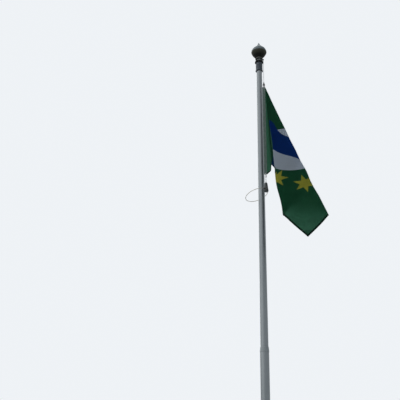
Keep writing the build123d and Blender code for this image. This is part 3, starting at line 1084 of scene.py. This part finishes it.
def hook_body(mat):
    """Moulded body of the upper snap hook, round its barrel and the upper half of its link."""
    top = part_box("top_hook")[1].z
    bm = bmesh.new()
    loops = []
    for drop, width, depth in HOOK_BODY:
        loop = []
        for turn in turns(40):
            x, y = rounded(turn, *BODY_ROUND)
            loop.append(bm.verts.new(ON_LINE @ Vector((width * x, depth * y, top - drop))))
        loops.append(loop)
    skin(bm, loops)
    return finished("hook_body", bm, mat)


def gate(name, node, leg, wire, drop, mat):
    """Sprung gate of a snap hook: a knurled sleeve on one leg of its link, with a hinge pin."""
    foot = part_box(node)[1].z - drop
    sleeve = [(wire * 1.02, 0), (wire * 1.32, 0.0006), (wire * 1.38, 0.0014)]
    for i in range(KNURL_RINGS):
        z = KNURL_FROM + i * KNURL_PITCH
        sleeve += [(wire * 1.38, z), (wire * 1.3, z + 0.0005), (wire * 1.38, z + 0.001)]
    sleeve += [
        (wire * 1.38, GATE_LENGTH),
        (wire * 1.3, GATE_LENGTH + 0.0008),
        (wire * 1.02, GATE_LENGTH + 0.0014),
    ]
    bm = bmesh.new()
    lathe(bm, sleeve, ON_LINE @ Matrix.Translation((leg, 0, foot)), 28)
    pin = [(0.0009, -wire * 1.5), (0.0014, -wire * 1.35), (0.0014, wire * 1.35), (0.0009, wire * 1.5)]
    hinge = Matrix.Translation((leg, 0, foot - GATE_PIN_DROP))
    lathe(bm, pin, ON_LINE @ hinge @ Matrix.Rotation(math.pi / 2, 4, "X"), 16)
    return finished(name, bm, mat)


def camera():
    data = bpy.data.cameras.new("camera")
    data.lens = LENS_MM
    data.sensor_width = SENSOR_MM
    data.clip_end = CLIP_END
    obj = bpy.data.objects.new("camera", data)
    bpy.context.scene.collection.objects.link(obj)
    obj.matrix_world = (
        Matrix.Rotation(CAMERA_AZIMUTH, 4, "Z")
        @ Matrix.Translation((0, -CAMERA_DISTANCE, EYE_HEIGHT))
        @ Matrix.Rotation(CAMERA_PAN, 4, "Z")
        @ Matrix.Rotation(math.pi / 2 + CAMERA_PITCH, 4, "X")
        @ Matrix.Rotation(CAMERA_ROLL, 4, "Z")
    )
    bpy.context.scene.camera = obj


def sun(name, azimuth, elevation, strength, softness, colour):
    """Wide soft lamp. Azimuth is measured from the camera, with 90 degrees to its right."""
    data = bpy.data.lights.new(name, "SUN")
    data.energy = strength
    data.angle = math.radians(softness)
    data.color = colour
    obj = bpy.data.objects.new(name, data)
    bpy.context.scene.collection.objects.link(obj)
    turn = CAMERA_AZIMUTH + math.radians(azimuth)
    lift = math.radians(elevation)
    source = Vector((math.sin(turn) * math.cos(lift), -math.cos(turn) * math.cos(lift), math.sin(lift)))
    obj.rotation_euler = source.to_track_quat("Z", "Y").to_euler()


def seen_directly(owner):
    """1 for camera, glossy and transmission rays and 0 for the light that falls on the object."""
    path = add(owner, "LightPath")
    seen = path.outputs["Is Camera Ray"]
    for name in ("Is Glossy Ray", "Is Transmission Ray"):
        seen = math_node(owner, "MAXIMUM", seen, path.outputs[name])
    return seen


def world():
    """Soft light, stronger from above, with a pale plain background."""
    sky = bpy.data.worlds.new("world")
    bpy.context.scene.world = sky
    sky.use_nodes = True
    light = sky.node_tree.nodes["Background"]
    light.inputs["Color"].default_value = (*SKY_COLOUR, 1)
    ray = add(sky, "TexCoord")
    parts = add(sky, "SeparateXYZ")
    join(sky, ray.outputs["Generated"], parts.inputs["Vector"])
    strength = spread(sky, parts.outputs["Z"], SKY_LOW, SKY_HIGH, SKY_FROM, SKY_TO)
    join(sky, strength, light.inputs["Strength"])
    pale = add(sky, "Background", Color=(*BACKDROP, 1)).outputs["Background"]
    mixed_shaders(sky, seen_directly(sky), light.outputs["Background"], pale, "World Output")


def floor():
    mat, shader = material("floor", (0.2, 0.2, 0.21), 0.9, 0.0, 0.1)
    grain = noise(mat, 3, detail=6)
    shade = ramp(mat, grain, 0.2, 0.8, *FLOOR_SHADES)
    pale = ramp(mat, grain, 0.2, 0.8, *FLOOR_SEEN)
    join(mat, mixed(mat, seen_directly(mat), shade, pale), shader.inputs["Base Color"])
    bm = bmesh.new()
    bmesh.ops.create_grid(bm, x_segments=1, y_segments=1, size=FLOOR_HALF)
    obj = finished("floor", bm, mat)
    obj.location.z = -FLOOR_DROP


def dress(mat, *names):
    """Give carried-over nodes a material."""
    for name in names:
        for slot in nodes[name].material_slots:
            slot.material = mat


bpy.context.scene.view_settings.view_transform = "Standard"
camera()
world()
floor()
sun("key", *KEY_LAMP)
sun("back", *BACK_LAMP)

# Finishes of the pieces that are shown as the solids have them
tube_metal = drawn_tube("tube_metal", (0.215, 0.235, 0.245), (0.16, 0.177, 0.186), 0.85, 0.36)
dress(tube_metal, "lower_tube", "access_door", "upper_tube", "joint_sleeve", "top_plug")
collar_metal = drawn_tube("collar_metal", (0.3, 0.33, 0.34), (0.22, 0.25, 0.26), 0.2, 0.5)
dress(collar_metal, "joint_collar")
zinc = galvanised()
dress(zinc, "base_plate", "base_socket", "door_strap")
dress(zinc, "gusset_right", "gusset_back", "gusset_left", "gusset_front")
for name, node, *finish in COATED:
    dress(coated(name, *finish), node)
# Finial's dome and bowl, with painted shade towards their foot
for name, node, *finish in HEIGHT_SHADED:
    dress(height_shaded(name, node, *finish), node)
for name, dressed, *finish in MOULDED:
    dress(moulded(name, *finish), *dressed)
steel = moulded("hook_steel", (0.18, 0.19, 0.2), 0.4, STEEL_DEPTH, 0.8)
dress(steel, "bottom_ring", "bottom_hook", "weight_eye", "hoop_crimp")
dark_steel = moulded("dark_steel", (0.025, 0.027, 0.03), 0.6, STEEL_DEPTH, 0.2)
dress(dark_steel, "top_hook", "top_ring")

# Flag, heading and eyelets
sheet = flag()
tape = heading_tape(canvas())
rings = eyelets(moulded("eyelet_zinc", (0.42, 0.43, 0.42), 0.35, 0.00005, 0.9))
for piece, node, slot in ((sheet, "flag", "flag_cloth"), (tape, "flag_heading", "heading_canvas")):
    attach(piece, "flag_set")
    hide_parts(node)
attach(rings, "flag_set")

# Halyard, strop and their whippings
fibre = rope_fibre()
line_low, line_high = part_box("halyard")
line_rope = halyard(fibre)
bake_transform(line_rope)
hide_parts("halyard")
link_rope = strop(fibre)
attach(link_rope, "flag_set")
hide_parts("weight_strop")
twine = moulded("twine", (0.1, 0.11, 0.11), 0.8, 0.0001)
strop_low, strop_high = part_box("weight_strop")
leg = ON_LINE @ Vector((0, STROP_BEND, 0))
line_foot = Vector((LINE_X, 0, line_low.z + HALYARD_WHIPPING_RISE))
strop_foot = Vector((leg.x, leg.y, (strop_low.z + strop_high.z) / 2 - STROP_WHIPPING / 2))
whippings = [
    whipping("halyard_whipping", line_foot, HALYARD_WHIPPING, twine),
    whipping("strop_whipping", strop_foot, STROP_WHIPPING, twine),
]
for piece in whippings:
    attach(piece, "flag_set")

# Spike, screws, welds and the hooks' details
stainless = moulded("stainless", (0.32, 0.33, 0.33), 0.32, 0.00003, 1.0, 1200)
collar_low, collar_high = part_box("joint_collar")
stem_low, stem_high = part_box("finial_stem")
flange_low, flange_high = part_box("head_flange")
collar_screw_z = collar_low.z + COLLAR_SCREW_RISE
sleeve_screw_z = flange_low.z - SLEEVE_SCREW_DROP
stem_screw_z = stem_low.z + STEM_SCREW_RISE
mast_screws = [outwards(a, collar_high.x, collar_screw_z) for a in COLLAR_ANGLES]
head_screws = [outwards(a, SLEEVE_R, sleeve_screw_z) for a in SLEEVE_ANGLES]
head_screws += [outwards(a, stem_high.x - SCREW_SINK, stem_screw_z) for a in STEM_ANGLES]
upright = [Matrix.Translation((ARM_SCREW_X, y, flange_high.z)) for y in (-ARM_SCREW_Y, ARM_SCREW_Y)]
point = spike(coated("spike_grey", (0.13, 0.155, 0.165), (0.19, 0.22, 0.23), 0.5))
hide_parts("finial_spike")
placed = [
    (point, "head", "finial_grey"),
    (screws("joint_screws", mast_screws, stainless, *SCREW), "mast", "collar_grey"),
    (screws("head_screws", head_screws, stainless, *SCREW), "head", "hook_steel"),
    (screws("arm_screws", upright, stainless, *SMALL_SCREW), "head", "hook_steel"),
    (base_welds(zinc), "mast", "galvanised_steel"),
    (swivel(dark_steel), "flag_set", "hook_steel"),
    (hook_body(dark_steel), "flag_set", "hook_steel"),
    (gate("top_gate", "top_hook", *TOP_GATE, dark_steel), "flag_set", "hook_steel"),
    (gate("bottom_gate", "bottom_hook", *BOTTOM_GATE, steel), "flag_set", "hook_steel"),
]
for piece, body, slot in placed:
    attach(piece, body)
